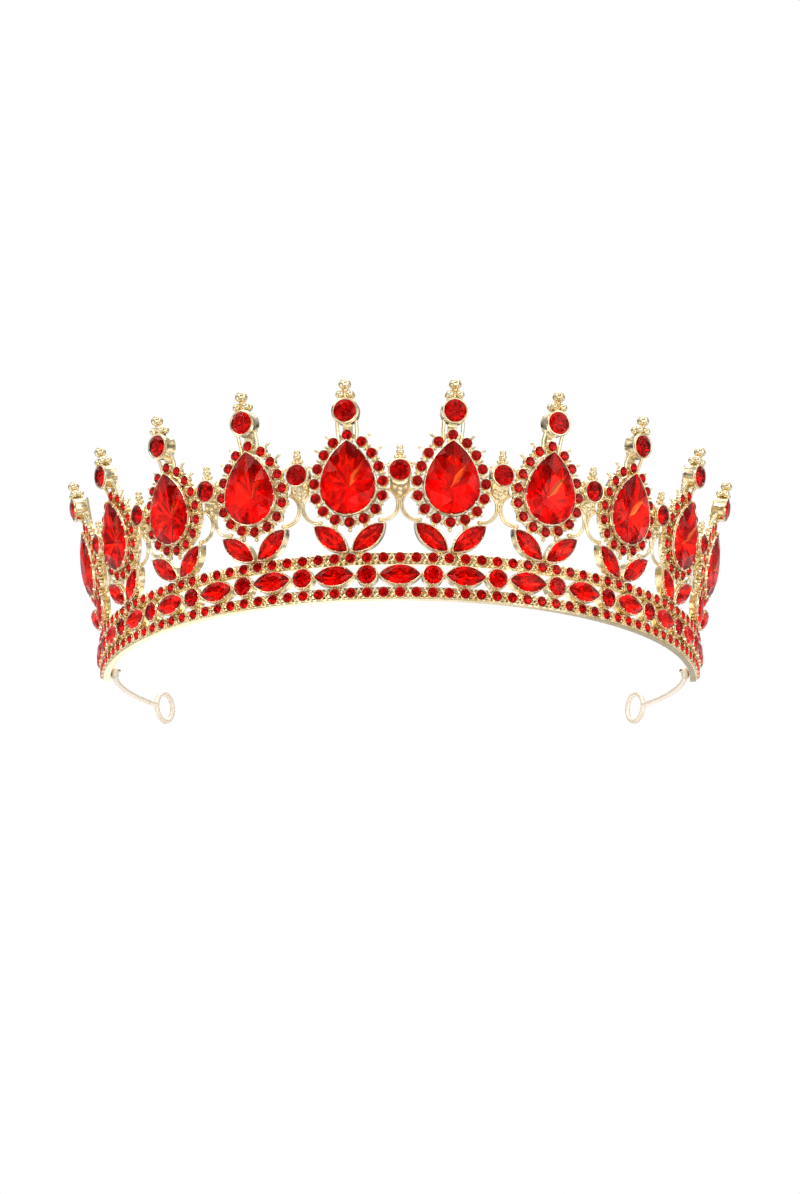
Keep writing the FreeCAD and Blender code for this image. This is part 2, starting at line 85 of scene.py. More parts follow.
# ---- grips: how many prongs hold a stone, and their radius ----
MARQUISE_GRIPS = (8, 0.24)
ROUND_GRIPS = (8, 0.22)
PEAR_GRIPS = (14, 0.27)

# ---- cuts: main facets, shares of the width at the table and the keel, numbers of facets with a painted glint ----
ROUND_MAINS = 8
BAND_MARQUISE_CUT = (6, 0.62, 0.36, [7])
LEAF_CUT = (6, 0.6, 0.36, [13])
PEAR_CUT = (8, 0.5, 0.3, [18])
GIRDLE_BELOW = 0.12
GIRDLE_ABOVE = 0.08
STAR_WIDTH = 0.83
STAR_HEIGHT = 0.58
KEEL_HEIGHT = 0.3
TIP_WIDTH = 0.04

# ---- peaks and links: groups of beads are unpacked where they are used ----
HALO = (8.0, 12.9)
SHOULDER = math.radians(8.0)
HALO_LOWER_STEP = math.radians(24.5)
HALO_UPPER_STEP = math.radians(12.4)
HALO_LOWER_STONES = 5
HALO_UPPER_STONES = 3
HALO_PRONG_ROWS = (-0.62, 0.78)
HALO_PRONG = 0.26
HALO_PRONG_BEAD = 0.33
SPIKE_REACH = (1.2, 2.35)
SPIKE_FOOT = 0.32
SPIKE_TAPER = 0.1
SPIKE_BEAD = 0.375
EDGE_BEAD = 0.3
EDGE_BEAD_REACH = 1.5
BOTTOM_BEAD = 0.5
BOTTOM_BEAD_REACH = 1.75
PEAR_CENTRE = 24.3
NECK_STONE = 36.4
WEB = (-2.2, -1.2)
WEB_REACH = (0.5, 0.45)
CROWN_CENTRE = 41.6
SPINE_HALF = 1.1
NECK_POST = 0.4
FINIAL_TOP = 47.9
FINIAL_LEVEL = 0.5
FINIAL_STEM = 0.55
FINIAL_CLUSTER = (1.15, 2.4, 0.75, 1.0)
FINIAL_SMALL_BEAD = 0.7
FINIAL_BEAD = 1.45
LEAF_CENTRE = (4.3, 12.6)
LEAF_TILT = math.radians(39.0)
LEAF_BAR = 0.45
FOOT_HALF = (2.4, 1.9)
FOOT_HEIGHT = 1.1
FOOT_THICKNESS = 0.9
FOOT_BEAD = 0.42
LINK_CENTRE = 27.9
SCROLL_CENTRE = (4.1, 20.4)
SCROLL_RADIUS = 3.7
SCROLL_ARC = (math.radians(115), math.radians(275))
SCROLL_LEVEL = -1.4
SCROLL_WIRE = 0.9  # diameter of the single wire in the CAD model, two thin ones here
SCROLL_SPLIT = 0.22
LINK_BEAD_LEVEL = -0.6
LINK_TOP_ROW = ((-0.85, 0, 0.85), 0.75, 0.55)
LINK_TOP_BEADS = ((1.9, 0.9), (2.9, 0.75))
LINK_SIDE_BEADS = (math.radians(20), math.radians(-28))
LINK_SIDE_BEAD = 0.35
LINK_PLATE = (0.9, 0.4)
LINK_PLATE_BEADS = ((-1.3, -0.1), (1.3, -0.1), (0, 0.3), (0, 1.4))
LINK_PLATE_BEAD = 0.65

# ---- arms and loops ----
ARM_RADIUS = 74.6
ARM_HEIGHT = 2.15
ARM_RISE = math.radians(4.2)
ARM_WIRE = 1.4
ARM_ARC = (math.radians(77.5), math.radians(114.1))
ARM_EYE = 1.0
RIVET_HEAD = (0.85, 0.45)
RIVET_SHANK = 0.45
LUG_HALF_WIDTH = 1.5
LUG_THICKNESS = 0.75
LOOP_AT = math.radians(117.2)
LOOP_RADIUS = 3.9
LOOP_HEIGHT = 4.65


# ---- mesh building ----
class Shape:
    """The points and faces of one mesh, in millimetres. A slot is the number of a material."""

    def __init__(self):
        self.points = []
        self.faces = []
        self.slots = []

    def add(self, points, faces, slot=0):
        first = len(self.points)
        self.points += [tuple(p) for p in points]
        self.faces += [[first + i for i in face] for face in faces]
        self.slots += [slot] * len(faces)

    def rings(self, rings, slot=0, caps=(True, True)):
        """A skin over closed rings of equally many points, capped where the end rings are open."""
        count = len(rings[0])
        faces = []
        for row in range(len(rings) - 1):
            a = row * count
            for i in range(count):
                j = (i + 1) % count
                faces.append([a + i, a + j, a + count + j, a + count + i])
        last = (len(rings) - 1) * count
        if caps[0]:
            faces.append(list(range(count))[::-1])
        if caps[1]:
            faces.append([last + i for i in range(count)])
        self.add([p for ring in rings for p in ring], faces, slot)

    def loop_of_rings(self, rings, slot=0):
        """The same skin, with the last ring joined to the first."""
        self.rings(rings + rings[:1], slot, caps=(False, False))

    def include(self, other, matrix=None):
        matrix = matrix or Matrix.Identity(4)
        first = len(self.points)
        self.points += [tuple(matrix @ Vector(p)) for p in other.points]
        self.faces += [[first + i for i in face] for face in other.faces]
        self.slots += other.slots

    def placed(self, matrix):
        """A copy moved by a matrix."""
        copy = Shape()
        copy.include(self, matrix)
        return copy

    def mesh(self, name, materials, crease):
        """A Blender mesh in metres. Edges sharper than crease stay sharp, and 0 leaves it faceted."""
        mesh = bpy.data.meshes.new(name)
        mesh.from_pydata([Vector(p) * MM for p in self.points], [], self.faces)
        for material in materials:
            mesh.materials.append(material)
        mesh.polygons.foreach_set("material_index", self.slots)
        mesh.polygons.foreach_set("use_smooth", [crease > 0] * len(self.faces))
        if crease > 0:
            mesh.set_sharp_from_angle(angle=crease)
        mesh.validate()
        mesh.update()
        return mesh


def circle(u, v, w, radius, count):
    turns = [2 * math.pi * i / count for i in range(count)]
    return [(u + radius * math.cos(t), v + radius * math.sin(t), w) for t in turns]


def turned(profile, u=0.0, v=0.0, count=24, slot=0):
    """A (radius, w) profile turned about the w axis at u, v."""
    shape = Shape()
    shape.rings([circle(u, v, w, max(radius, 0.005), count) for radius, w in profile], slot)
    return shape


def bead(u, v, w, radius, count=16, squash=1.0):
    """A ball. A squash under 1 flattens it along v."""
    steps = count // 2
    profile = []
    for i in range(1, steps):
        turn = math.pi * i / steps
        profile.append((radius * math.sin(turn), w - radius * math.cos(turn)))
    ends = [(0.005, w - radius)] + profile + [(0.005, w + radius)]
    shape = turned(ends, count=count)
    shape.points = [(x + u, y * squash + v, z) for x, y, z in shape.points]
    return shape


# Rings of a rounded wire end: distance past the end and width, as shares of the wire's radius.
DOME = [(math.sin(t), math.cos(t)) for t in (math.radians(30), math.radians(60), math.radians(85))]


def wire_ring(centre, side, up, radius, count):
    turns = [2 * math.pi * k / count for k in range(count)]
    return [centre + (side * math.cos(t) + up * math.sin(t)) * radius for t in turns]


def tube(path, radius, count=12, closed=False):
    """A round wire along a path of points, with rounded ends unless it closes on itself."""
    path = [Vector(p) for p in path]
    last = len(path) - 1
    rings = []
    side = None
    for i, at in enumerate(path):
        before = path[i - 1] if i or closed else at
        after = path[(i + 1) % len(path)] if i < last or closed else at
        along = (after - before).normalized()
        if side is None:
            side = along.orthogonal().normalized()
        side = (side - along * side.dot(along)).normalized()
        up = along.cross(side)
        r = radius(i / last) if callable(radius) else radius
        if i == 0 and not closed:
            rings += [wire_ring(at - along * r * d, side, up, r * s, count) for d, s in DOME[::-1]]
        rings.append(wire_ring(at, side, up, r, count))
        if i == last and not closed:
            rings += [wire_ring(at + along * r * d, side, up, r * s, count) for d, s in DOME]
    shape = Shape()
    if closed:
        shape.loop_of_rings(rings)
    else:
        shape.rings(rings)
    return shape


def slab(outline, back, front, bevel=0.12):
    """A plate with eased edges, from a convex outline of (u, v) points."""
    middle = Vector((sum(p[0] for p in outline), sum(p[1] for p in outline))) / len(outline)
    rings = []
    for w, inset in ((back, bevel), (back + bevel, 0), (front - bevel, 0), (front, bevel)):
        ring = []
        for p in outline:
            away = Vector(p) - middle
            ring.append((*(middle + away * (1 - inset / away.length)), w))
        rings.append(ring)
    shape = Shape()
    shape.rings(rings)
    return shape


# ---- outlines: rings of (u, v) points, the same number whatever the margin ----
def round_outline(diameter, count, grow=0.0):
    return [(x, y) for x, y, _ in circle(0, 0, 0, diameter / 2 + grow, count)]


def side_arc(pear):
    """Distance of the side arcs' centres from the centre of a pear's round end."""
    radius, tip = pear
    return (tip**2 - radius**2) / (2 * (radius - tip * math.sin(SHOULDER)))


def pear_point(pear, grow, share):
    """A point on the right half of a pear, from its bottom at 0 to its tip at 1."""
    reach = side_arc(pear)
    round_end = pear[0] + grow
    side = round_end + reach
    centre_u = -reach * math.cos(SHOULDER)
    centre_v = -reach * math.sin(SHOULDER)
    top = centre_v + math.sqrt(side**2 - centre_u**2)
    last = math.atan2(top - centre_v, -centre_u)
    lower = (math.pi / 2 + SHOULDER) * round_end
    upper = (last - SHOULDER) * side
    travelled = share * (lower + upper)
    if travelled < lower:
        turn = travelled / round_end - math.pi / 2
        return (round_end * math.cos(turn), round_end * math.sin(turn))
    turn = SHOULDER + (travelled - lower) / side
    return (centre_u + side * math.cos(turn), centre_v + side * math.sin(turn))


def pear_outline(pear, count, grow=0.0):
    half = count // 2
    right = [pear_point(pear, grow, i / half) for i in range(half + 1)]
    return right + [(-u, v) for u, v in right[half - 1 : 0 : -1]]


def marquise_outline(size, count, grow=0.0):
    length, width = size[0] / 2 + grow, size[1] / 2 + grow
    radius = (length**2 + width**2) / (2 * width)
    reach = math.asin(length / radius)
    half = count // 2
    upper = []
    for i in range(half):
        turn = reach - 2 * reach * i / half
        upper.append((radius * math.sin(turn), radius * math.cos(turn) - radius + width))
    return upper + [(-u, -v) for u, v in upper]


# ---- cups: depths are from the lip, and shares are of the wall, of the neck or of the grip ----
NECK_SHARE = 0.6
FOOT_EASE = 0.12
FLANGE_DEPTHS = (0.75, 0.62, 0.5, 0.4)
LIP_OUTSIDE = ((1.0, 0.16), (0.8, 0.05), (0.3, 0.0))
LIP_INSIDE = ((0.6, 0.02), (1.0, 0.08))
BOTTOM_SHARE = 0.5
GRIP_LENGTH = 0.5


def cup(outline, size, seat, wall, count, grip=0.02, flange=0.0):
    """A cup round a stone. Its lip is thinner than its wall and closes over the stone by the grip.

    A flange may stand out below the lip.
    """
    foot, back, girdle, _ = seat
    lip = girdle + RIM + grip
    neck = wall * NECK_SHARE
    slope_foot, flange_foot, flange_top, slope_top = (lip - depth for depth in FLANGE_DEPTHS)
    profile = [
        (neck, foot),
        (wall, foot + FOOT_EASE),
        (wall, slope_foot),
        (wall + flange, flange_foot),
        (wall + flange, flange_top),
        (neck, slope_top),
    ]
    profile += [(neck * share, lip - depth) for share, depth in LIP_OUTSIDE]
    profile += [(-grip * share, lip - depth) for share, depth in LIP_INSIDE]
    profile += [(-grip * 0.4, girdle + 0.02), (0.0, girdle - GIRDLE_BELOW)]
    rings = [[(u, v, w) for u, v in outline(size, count, grow)] for grow, w in profile]
    rings.append([(u * BOTTOM_SHARE, v * BOTTOM_SHARE, back) for u, v in outline(size, count)])
    shape = Shape()
    shape.rings(rings)
    return shape


def gripped(outline, size, seat, count, radius):
    """Small prongs that close over a stone's girdle."""
    shape = Shape()
    lip = seat[2] + RIM
    for u, v in outline(size, count, 0.02):
        outward = Vector((u, v)).normalized() * radius * 0.5
        foot = (u + outward.x, v + outward.y, lip - GRIP_LENGTH)
        head = (u - outward.x * 0.3, v - outward.y * 0.3, lip + 0.02)
        shape.include(tube([foot, head], radius, 8))
    return shape


# ---- stones: slot 0 is the glass in front, 1 the foil on girdle and back, 2 a foil that paints a glint ----
def brilliant(outline, size, seat, mains, table=0.6, keel=0.42, painted_glints=()):
    """A stone cut with a table, kites, stars and girdle facets, over a pointed foiled back.

    The back and girdle facets are counted in the order of rear, six to each main facet, and flashes
    holds the numbers of those that take slot 2, a pale foil that paints a glint. The last one, the
    point, is wound the wrong way round.
    """
    _, back, girdle, top = seat
    ring = outline(size, 2 * mains)

    def level(share, w, points):
        return [(u * share, v * share, w) for u, v in points]

    even, odd = ring[0::2], ring[1::2]
    upper = girdle + GIRDLE_ABOVE
    lower = girdle - GIRDLE_BELOW
    shape = Shape()
    points = level(table, top, even)
    points += level(STAR_WIDTH, upper + (top - upper) * STAR_HEIGHT, odd)
    points += level(1.0, upper, ring)
    points += level(1.0, lower, ring)
    points += level(keel, back + (lower - back) * KEEL_HEIGHT, odd)
    points += level(TIP_WIDTH, back, even)
    tables, stars, rims, bases, keels, tip = (mains * k for k in (0, 1, 2, 4, 6, 7))
    shape.add(points, [list(range(mains))])
    front = []
    rear = []
    for i in range(mains):
        j = (i + 1) % mains
        here, half, there = 2 * i, 2 * i + 1, (2 * i + 2) % (2 * mains)
        previous = (i - 1) % mains
        front.append([tables + i, stars + previous, rims + here, stars + i])
        front.append([tables + j, tables + i, stars + i])
        front.append([stars + i, rims + here, rims + half])
        front.append([stars + i, rims + half, rims + there])
        rear.append([tip + i, keels + i, bases + here, keels + previous])
        rear.append([tip + j, keels + i, tip + i])
        rear.append([keels + i, bases + half, bases + here])
        rear.append([keels + i, bases + there, bases + half])
        rear.append([rims + half, rims + here, bases + here, bases + half])
        rear.append([rims + there, rims + half, bases + half, bases + there])
    rear.append([tip + i for i in range(mains)])
    shape.faces += front + rear
    shape.slots += [0] * len(front)
    # Back facets numbered for a painted glint take the pale foil of slot 2, and the rest take the foil
    # of slot 1.
    shape.slots += [2 if i in painted_glints else 1 for i in range(len(rear))]
    return shape


def moved(shape, u=0.0, v=0.0, w=0.0, turn=0.0):
    return shape.placed(Matrix.Translation((u, v, w)) @ Matrix.Rotation(turn, 4, "Z"))


def at_pear(shape):
    return moved(shape, 0, PEAR_CENTRE)


def at_leaf(shape, side):
    return moved(shape, side * LEAF_CENTRE[0], LEAF_CENTRE[1], 0, side * LEAF_TILT)


# ---- places round the ring ----
def azimuths(count, step):
    return [(i - (count - 1) / 2) * step * PERIOD for i in range(count)]


RAIL_STONES = azimuths(REPEATS * STONES_PER_PERIOD + 1, 1 / STONES_PER_PERIOD)
RAIL_GAPS = azimuths(REPEATS * STONES_PER_PERIOD, 1 / STONES_PER_PERIOD)
MARQUISES = azimuths(REPEATS, 1)
ROUNDS = azimuths(REPEATS + 1, 1)
PEAK_PLACES = azimuths(PEAKS, PEAK_SPACING)
LINK_PLACES = azimuths(PEAKS - 1, PEAK_SPACING)


def band_point(v, w):
    """Radius and height of a point of the band's section."""
    radius = RING_RADIUS + v * math.sin(BAND_FLARE) + w * math.cos(BAND_FLARE)
    height = RAIL_HALF * math.cos(BAND_FLARE) + v * math.cos(BAND_FLARE) - w * math.sin(BAND_FLARE)
    return radius, height


def slanted(azimuth, flare, radius, height):
    """The matrix that takes u, v and w to a point of the ring."""
    outward = Vector((math.sin(azimuth), -math.cos(azimuth), 0))
    up = Vector((0, 0, 1))
    u = Vector((math.cos(azimuth), math.sin(azimuth), 0))
    v = outward * math.sin(flare) + up * math.cos(flare)
    w = outward * math.cos(flare) - up * math.sin(flare)
    matrix = Matrix((u, v, w)).transposed().to_4x4()
    matrix.translation = outward * radius + up * height
    return matrix


def band_matrix(azimuth):
    return slanted(azimuth, BAND_FLARE, *band_point(0, 0))


def crest_matrix(azimuth):
    down = Matrix.Translation((0, -UPPER_ROW, 0))
    return slanted(azimuth, PEAK_FLARE, *band_point(UPPER_ROW, 0)) @ down


def round_the_ring(shape, places, matrix):
    whole = Shape()
    for azimuth in places:
        whole.include(shape, matrix(azimuth))
    return whole


def mirrored(shape):
    other = Shape()
    other.points = [(-x, y, z) for x, y, z in shape.points]
    other.faces = [face[::-1] for face in shape.faces]
    other.slots = list(shape.slots)
    return other


# ---- the band ----
def swept_section(section, count=220):
    """A section of (radius, height) points turned about the ring's axis along the band.

    Known fault: its faces are wound the wrong way round, so their normals point inward.
    """
    rings = []
    for i in range(count + 1):
        azimuth = -RAIL_END + 2 * RAIL_END * i / count
        x, y = math.sin(azimuth), -math.cos(azimuth)
        rings.append([(x * radius, y * radius, height) for radius, height in section])
    shape = Shape()
    shape.rings(rings)
    return shape


def eased(section, amount=0.12):
    """A closed section with each corner cut off by a short edge."""
    points = [Vector(p) for p in section]
    result = []
    for i, corner in enumerate(points):
        for other in (points[i - 1], points[(i + 1) % len(points)]):
            result.append(tuple(corner + (other - corner).normalized() * amount))
    return result


def rail(row, section):
    """A strip with a row of small cups, and cast prongs in pairs between them."""
    shape = swept_section(eased(section))
    small_cup = cup(round_outline, *SMALL, SMALL_WALL, 20)
    shape.include(round_the_ring(moved(small_cup, 0, row), RAIL_STONES, band_matrix))
    between = Shape()
    foot, _, girdle, _ = SMALL[1]
    for side in (-1, 1):
        v = row + side * PRONG_ROW
        between.include(tube([(0, v, foot), (0, v, girdle - 0.1)], PRONG_RADIUS, 10))
        between.include(bead(0, v, girdle + 0.02, PRONG_BEAD, 12))
        for across in (side, -side):
            end = (across * PRONG_ARM_REACH, row + side * 0.1, girdle - 0.42)
            between.include(tube([(0, v, girdle - 0.3), end], PRONG_ARM, 8))
    shape.include(round_the_ring(between, RAIL_GAPS, band_matrix))
    return shape


def lower_rail():
    inner = band_point(LOWER_ROW - RAIL_HALF, RAIL_BACK)[0]
    outer = band_point(LOWER_ROW - RAIL_HALF, RAIL_FRONT)[0]
    section = [
        (inner, 0),
        (outer + LIP[0], 0),
        (outer + LIP[0], LIP[1]),
        (outer, LIP[1] + LIP[0] / 2),
        band_point(LOWER_ROW + RAIL_HALF, RAIL_FRONT),
        band_point(LOWER_ROW + RAIL_HALF, RAIL_BACK),
    ]
    shape = rail(LOWER_ROW, section)
    lug = end_lug()
    shape.include(lug)
    shape.include(mirrored(lug))
    return shape


def upper_rail():
    corners = ((-1, RAIL_BACK), (-1, RAIL_FRONT), (1, RAIL_FRONT), (1, RAIL_BACK))
    return rail(UPPER_ROW, [band_point(UPPER_ROW + side * RAIL_HALF, w) for side, w in corners])


def centre_settings():
    """The cups between the rails, and the posts that hold them."""
    size, seat = BAND_MARQUISE
    marquise = cup(marquise_outline, size, seat, WALL, 48)
    marquise.include(gripped(marquise_outline, size, seat, *MARQUISE_GRIPS))
    disc = cup(round_outline, *ROUND, WALL, 32)
    disc.include(gripped(round_outline, *ROUND, *ROUND_GRIPS))
    level = seat[0] + 0.6
    edge = ROUND[0] / 2
    gaps = (
        (LOWER_ROW + RAIL_HALF, MIDDLE_ROW - edge),
        (MIDDLE_ROW + edge, UPPER_ROW - RAIL_HALF),
    )
    shape = round_the_ring(moved(marquise, 0, MIDDLE_ROW), MARQUISES, band_matrix)
    shape.include(round_the_ring(moved(disc, 0, MIDDLE_ROW), ROUNDS, band_matrix))
    for low, high in gaps:
        post = tube([(0, low + 0.1, level), (0, high - 0.1, level)], POST_RADIUS, 12)
        middle = (low + high) / 2
        for side in (-1, 1):
            post.include(bead(side * 0.55, middle, -0.75, POST_SIDE_BEAD, 12))
        post.include(bead(0, middle, -0.6, POST_BEAD, 12))
        shape.include(round_the_ring(post, MARQUISES + ROUNDS, band_matrix))
    return shape


def risen(shape):
    """A shape tilted with the plane of the arms."""
    return shape.placed(Matrix.Rotation(ARM_RISE, 4, "X"))


def at_rivet(shape):
    """A shape about the vertical axis, moved to where the right arm meets its lug."""
    turn = Matrix.Rotation(BAND_EDGE, 4, "Z")
    return risen(shape.placed(turn @ Matrix.Translation((0, -ARM_RADIUS, 0))))


def end_lug():
    """A tab with a rounded inner end, behind the end of the lower rail."""
    bottom = ARM_HEIGHT + ARM_WIRE / 2
    reach = band_point(LOWER_ROW, RAIL_BACK + 0.4)[0] - ARM_RADIUS
    outline = [(LUG_HALF_WIDTH, -reach), (LUG_HALF_WIDTH, 0)]
    for i in range(1, 12):
        turn = math.pi * i / 12
        outline.append((LUG_HALF_WIDTH * math.cos(turn), LUG_HALF_WIDTH * math.sin(turn)))
    outline += [(-LUG_HALF_WIDTH, 0), (-LUG_HALF_WIDTH, -reach)]
    return at_rivet(slab(outline, bottom, bottom + LUG_THICKNESS))


# ---- peaks ----
def halo_side():
    """The centres and outward directions of the halo stones on the right, from the bottom up."""
    reach = side_arc(HALO)
    places = []
    for step in range(HALO_LOWER_STONES):
        turn = step * HALO_LOWER_STEP - math.pi / 2
        out = Vector((math.cos(turn), math.sin(turn)))
        places.append((Vector((0, PEAR_CENTRE)) + out * HALO[0], out))
    centre = Vector((-reach * math.cos(SHOULDER), PEAR_CENTRE - reach * math.sin(SHOULDER)))
    for step in range(1, HALO_UPPER_STONES + 1):
        turn = SHOULDER + step * HALO_UPPER_STEP
        out = Vector((math.cos(turn), math.sin(turn)))
        places.append((centre + out * (HALO[0] + reach), out))
    return places


def halo_places():
    right = [at for at, _ in halo_side()]
    left = [Vector((-at.x, at.y)) for at in right[1:]]
    return right + left + [Vector((0, NECK_STONE))]


def halo_details():
    """Prong beads between the halo stones, and ball-ended spikes out of the upper ones."""
    shape = Shape()
    _, back, girdle, _ = SMALL[1]
    side = halo_side()
    for (here, out_here), (there, out_there) in zip(side, side[1:]):
        middle = (here + there) / 2
        out = (out_here + out_there).normalized()
        for reach in HALO_PRONG_ROWS:
            at = middle + out * reach
            shape.include(tube([(*at, WEB[1] - 0.2), (*at, girdle - 0.1)], HALO_PRONG, 8))
            shape.include(bead(at.x, at.y, girdle, HALO_PRONG_BEAD, 12))
    for at, out in side[HALO_LOWER_STONES:]:
        near, far = (at + out * reach for reach in SPIKE_REACH)
        spike = tube([(*near, back), (*far, back)], lambda s: SPIKE_FOOT - SPIKE_TAPER * s, 8)
        shape.include(spike)
        shape.include(bead(far.x, far.y, back, SPIKE_BEAD, 12))
    for at, out in side[1:HALO_LOWER_STONES]:
        tip = at + out * EDGE_BEAD_REACH
        shape.include(bead(tip.x, tip.y, back + 0.25, EDGE_BEAD, 10))
    both = Shape()
    both.include(shape)
    both.include(mirrored(shape))
    both.include(bead(0, PEAR_CENTRE - HALO[0] - BOTTOM_BEAD_REACH, back, BOTTOM_BEAD))
    return both


def web():
    """The pear-shaped band behind the halo."""
    inward, outward = WEB_REACH
    back, front = WEB
    corners = [
        (-inward, back + 0.1),
        (-inward + 0.1, back),
        (outward - 0.1, back),
        (outward, back + 0.1),
        (outward, front - 0.12),
        (outward - 0.12, front),
        (-inward + 0.12, front),
        (-inward, front - 0.12),
    ]
    rings = [[(u, v, w) for u, v in pear_outline(HALO, 72, grow)] for grow, w in corners]
    shape = Shape()
    shape.loop_of_rings(rings)
    return at_pear(shape)


def neck():
    """The spine behind the crown cup, and the two posts in front of it."""
    foot = PEAR_CENTRE + PEAR[0][1] - 1
    top = CROWN_CENTRE + CROWN[0] / 2 - 0.2
    outline = [(-SPINE_HALF, foot), (SPINE_HALF, foot), (SPINE_HALF, top), (-SPINE_HALF, top)]
    shape = slab(outline, WEB[0], CROWN[1][0] + 0.3)
    for side in (-1, 1):
        start = (side * 2.0, NECK_STONE - 1.4, -0.9)
        middle = (side * 2.25, (NECK_STONE + CROWN_CENTRE) / 2 - 1.5, -0.7)
        end = (side * 2.2, CROWN_CENTRE - 2.2, 0.0)
        shape.include(tube([start, middle, end], NECK_POST, 12))
    return shape


def finial():
    """A bead on a stem, over a smaller one and a cluster of four."""
    stem_foot = CROWN_CENTRE + CROWN[0] / 2
    top_level = FINIAL_LEVEL + 0.4
    shape = tube([(0, stem_foot, FINIAL_LEVEL), (0, FINIAL_TOP, top_level)], FINIAL_STEM, 12)
    across, below, deep, radius = FINIAL_CLUSTER
    for side in (-1, 1):
        for depth in (-deep, deep):
            shape.include(bead(side * across, FINIAL_TOP - below, FINIAL_LEVEL + depth, radius, 20))
    shape.include(bead(0, FINIAL_TOP - 1.3, FINIAL_LEVEL + 0.3, FINIAL_SMALL_BEAD, 18))
    shape.include(bead(0, FINIAL_TOP, top_level, FINIAL_BEAD, 24, squash=0.9))
    return shape


def leaves():
    """The two leaf cups with their prongs, the bars up to the halo, and the foot on the rail."""
    size, seat = LEAF
    leaf = cup(marquise_outline, size, seat, WALL, 48)
    leaf.include(gripped(marquise_outline, size, seat, *MARQUISE_GRIPS))
    level = seat[0] + 0.5
    halo_foot = halo_side()[1][0]
    shape = Shape()
    for side in (-1, 1):
        shape.include(at_leaf(leaf, side))
        start = (side * halo_foot.x, halo_foot.y - 0.3, level)
        end = (side * (LEAF_CENTRE[0] - 0.7), LEAF_CENTRE[1] + 1.2, level)
        shape.include(tube([start, end], LEAF_BAR, 12))
    rail_top = UPPER_ROW + RAIL_HALF
    foot_top = rail_top + FOOT_HEIGHT
    wide, narrow = FOOT_HALF
    outline = [(-wide, rail_top), (wide, rail_top), (narrow, foot_top), (-narrow, foot_top)]
    front = seat[0] + FOOT_THICKNESS
    shape.include(slab(outline, seat[0], front))
    for u in (-1.7, 1.7):
        shape.include(bead(u, rail_top + 0.45, front, FOOT_BEAD, 12))
    return shape


def peak_casting():
    shape = web()
    shape.include(at_pear(cup(pear_outline, *PEAR, WALL, 88)))
    shape.include(at_pear(gripped(pear_outline, *PEAR, *PEAR_GRIPS)))
    small_cup = cup(round_outline, *SMALL, SMALL_WALL, 20)
    for at in halo_places():
        shape.include(moved(small_cup, at.x, at.y))
    crown_cup = cup(round_outline, *CROWN, WALL, 40, grip=0.2, flange=0.1)
    shape.include(moved(crown_cup, 0, CROWN_CENTRE))
    for part in (neck(), finial(), leaves(), halo_details()):
        shape.include(part)
    return shape


# ---- links ----
def scroll():
    """A scroll of two thin wires side by side, with a bead at its lower end."""
    first, last = SCROLL_ARC
    shape = Shape()
    for radius in (SCROLL_RADIUS - SCROLL_SPLIT, SCROLL_RADIUS + SCROLL_SPLIT):
        path = []
        for i in range(33):
            turn = first + (last - first) * i / 32
            u = SCROLL_CENTRE[0] + radius * math.cos(turn)
            v = SCROLL_CENTRE[1] + radius * math.sin(turn)
            path.append((u, v, SCROLL_LEVEL))
        shape.include(tube(path, SCROLL_WIRE * 0.28, 12))
    end_u = SCROLL_CENTRE[0] + SCROLL_RADIUS * math.cos(last)
    end_v = SCROLL_CENTRE[1] + SCROLL_RADIUS * math.sin(last)
    shape.include(bead(end_u, end_v, SCROLL_LEVEL, SCROLL_WIRE * 0.65))
    return shape


def link_casting():
    """A cup with a beaded top, a beaded plate under it, and a scroll on each side."""
    half = LINK[0] / 2
    top = LINK_CENTRE + half
    level = LINK_BEAD_LEVEL
    shape = moved(cup(round_outline, *LINK, WALL, 36, grip=0.12), 0, LINK_CENTRE)
    places, above, radius = LINK_TOP_ROW
    for u in places:
        shape.include(bead(u, top + above, level, radius, 14))
    for above, radius in LINK_TOP_BEADS:
        shape.include(bead(0, top + above, level, radius, 18))
    plate_top = LINK_CENTRE - half + 0.6
    scroll_top = SCROLL_CENTRE[1] + SCROLL_RADIUS
    right = [(2.2, plate_top), (2.3, scroll_top - 0.2), (1.9, scroll_top - 1.0)]
    left = [(-u, v) for u, v in right[::-1]]
    outline = [(0, SCROLL_CENTRE[1] + 1.2)] + right[::-1] + left[::-1]
    back = LINK[1][0]
    thickness, bevel = LINK_PLATE
    shape.include(slab(outline, back, back + thickness, bevel))
    for u, below in LINK_PLATE_BEADS:
        shape.include(bead(u, scroll_top - below, back + 0.75, LINK_PLATE_BEAD, 16))
    reach = half + LINK_SIDE_BEAD
    for side in (-1, 1):
        for turn in LINK_SIDE_BEADS:
            u = side * reach * math.cos(turn)
            v = LINK_CENTRE + reach * math.sin(turn)
            shape.include(bead(u, v, level, LINK_SIDE_BEAD, 12))
    shape.include(scroll())
    shape.include(mirrored(scroll()))
    return shape


# ---- arms, loops and rivets, on the right ----
def ring_point(azimuth, radius, height):
    return (radius * math.sin(azimuth), -radius * math.cos(azimuth), height)


def end_arm():
    """The wire, and the flat eye in it under the lug."""
    first, last = ARM_ARC
    path = []
    for i in range(61):
        azimuth = first + (last - first) * i / 60
        path.append(ring_point(azimuth, ARM_RADIUS, ARM_HEIGHT))
    shape = risen(tube(path, ARM_WIRE / 2, 18))
    low, high = ARM_HEIGHT - ARM_WIRE / 2, ARM_HEIGHT + ARM_WIRE / 2
    profile = [
        (ARM_EYE - 0.12, low),
        (ARM_EYE, low + 0.15),
        (ARM_EYE, high - 0.15),
        (ARM_EYE - 0.12, high),
    ]
    shape.include(at_rivet(turned(profile, count=24)))
    return shape


